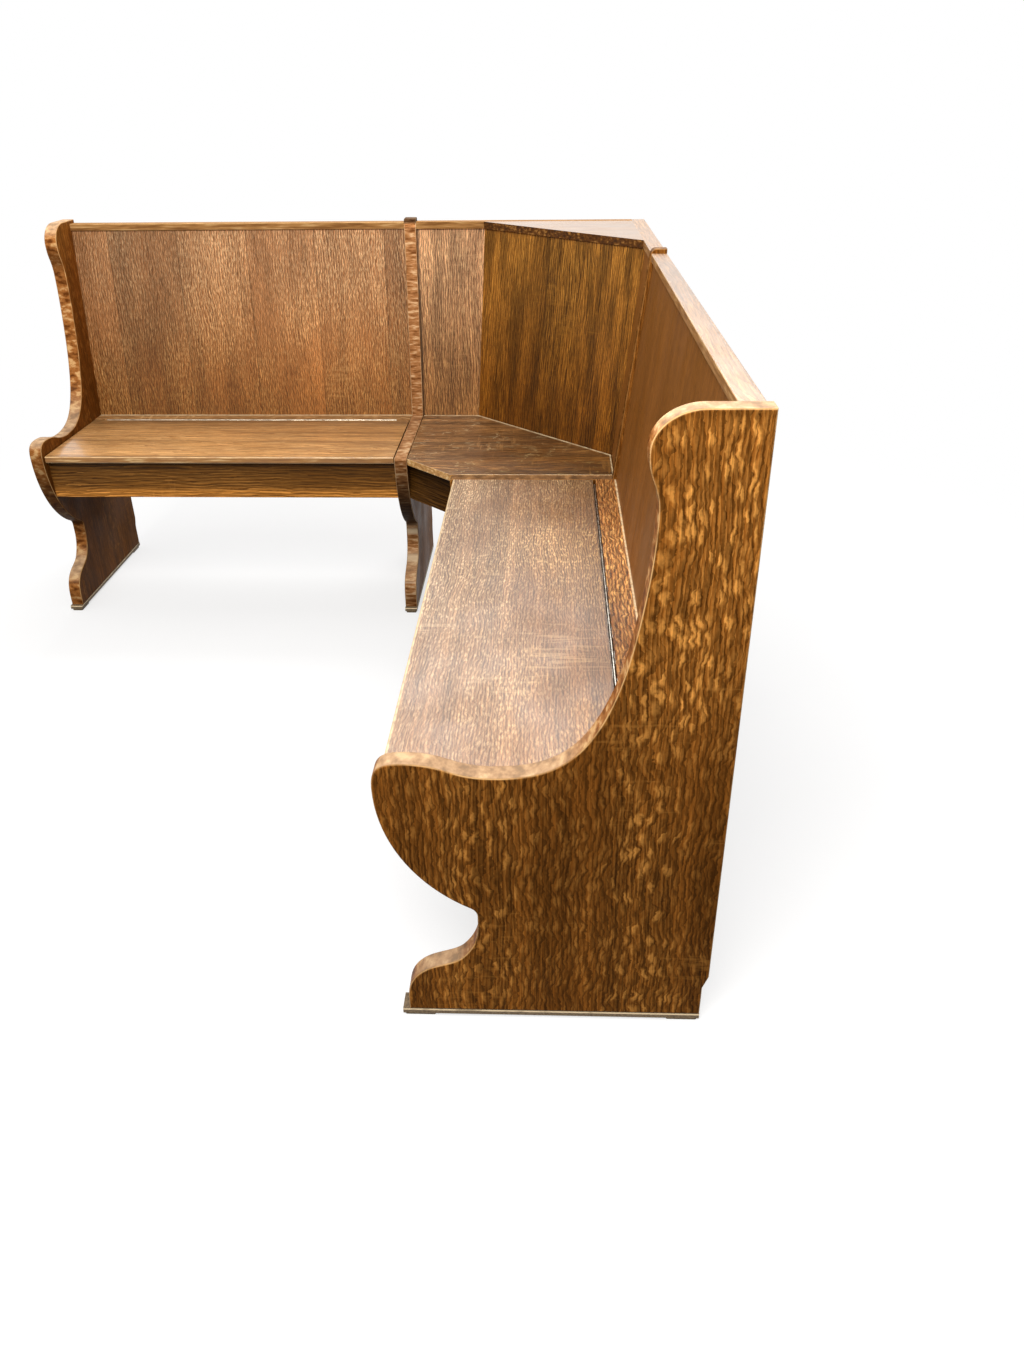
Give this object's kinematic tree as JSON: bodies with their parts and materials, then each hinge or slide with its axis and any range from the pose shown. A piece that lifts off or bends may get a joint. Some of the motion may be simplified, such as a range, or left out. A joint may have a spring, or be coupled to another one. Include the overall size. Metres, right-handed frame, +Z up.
{
  "type": "corner bench",
  "caption": "L-shaped oak corner bench: scrolled end panels, reclined backs, a fixed corner seat with a diagonal back, and seats that lift over storage boxes.",
  "frame": {"origin": "on the floor under the middle of the bench's rectangular outline", "axes": "+Z up; X runs along the left bench and Y along the right bench, so the rear corner is at +X, +Y and a person on the left bench faces -Y"},
  "size_m": [1.655, 1.97, 1],
  "materials": {
    "oak_panel": "dark stained quarter-sawn oak with golden ray fleck, satin varnish, edges worn paler",
    "oak_back": "reddish brown stained oak boards, grain upright, satin varnish",
    "oak_seat": "brown stained oak, grain along the seat, glossy varnish, front edge worn paler",
    "oak_strip": "golden brown flamed oak, glossy varnish",
    "oak_cap": "brown stained oak, grain along the rail, glossy varnish",
    "oak_apron": "dark stained oak, grain along the board, satin varnish",
    "plain_timber": "unvarnished softwood darkened with age",
    "hinge_steel": "plated steel, slightly tarnished",
    "zinc_steel": "zinc plated",
    "sole_strip": "nearly black hardwood strip",
    "foot_pad": "dark matt furniture glide"
  },
  "bodies": {
    "bench": {"corner_apron": "oak_apron", "corner_bolts": "zinc_steel", "corner_left_back": "oak_back", "corner_left_cap_rail": "oak_cap", "corner_nuts": "zinc_steel", "corner_rear_cleat": "plain_timber", "corner_right_back": "oak_back", "corner_right_cap_rail": "oak_cap", "corner_seat": "oak_seat", "corner_seat_cleats": "plain_timber", "corner_top_board": "oak_cap", "diagonal_back_battens": "plain_timber", "diagonal_back_left_board": "oak_back", "diagonal_back_right_board": "oak_back", "foot_pads": "foot_pad", "left_apron": "oak_apron", "left_back": "oak_back", "left_back_battens": "plain_timber", "left_box_bottom": "plain_timber", "left_cap_rail": "oak_cap", "left_divider": "oak_panel", "left_end_panel": "oak_panel", "left_hinge_fixed_leaf": "hinge_steel", "left_hinge_fixed_screws": "zinc_steel", "left_hinge_pin": "hinge_steel", "left_hinge_strip": "oak_strip", "left_lower_bearers": "plain_timber", "left_seat_cleats": "plain_timber", "left_strip_cleat": "plain_timber", "right_apron": "oak_apron", "right_back": "oak_back", "right_back_battens": "plain_timber", "right_box_bottom": "plain_timber", "right_cap_rail": "oak_cap", "right_divider": "oak_panel", "right_end_panel": "oak_panel", "right_hinge_fixed_leaf": "hinge_steel", "right_hinge_fixed_screws": "zinc_steel", "right_hinge_pin": "hinge_steel", "right_hinge_strip": "oak_strip", "right_lower_bearers": "plain_timber", "right_seat_cleats": "plain_timber", "right_strip_cleat": "plain_timber", "sole_strips": "sole_strip"},
    "left_lid": {"left_hinge_lid_leaf": "hinge_steel", "left_hinge_lid_screws": "zinc_steel", "left_lid_battens": "plain_timber", "left_seat_lid": "oak_seat"},
    "right_lid": {"right_hinge_lid_leaf": "hinge_steel", "right_hinge_lid_screws": "zinc_steel", "right_lid_battens": "plain_timber", "right_seat_lid": "oak_seat"}
  },
  "joints": [
    {"name": "left_lid_hinge", "type": "hinge", "parent": "bench", "child": "left_lid", "pos_m": [-0.319, 0.838, 0.4645], "axis": [-1, 0, 0], "range_deg": [0, 105]},
    {"name": "right_lid_hinge", "type": "hinge", "parent": "bench", "child": "right_lid", "pos_m": [0.6805, -0.319, 0.4645], "axis": [0, 1, 0], "range_deg": [0, 105]}
  ]
}
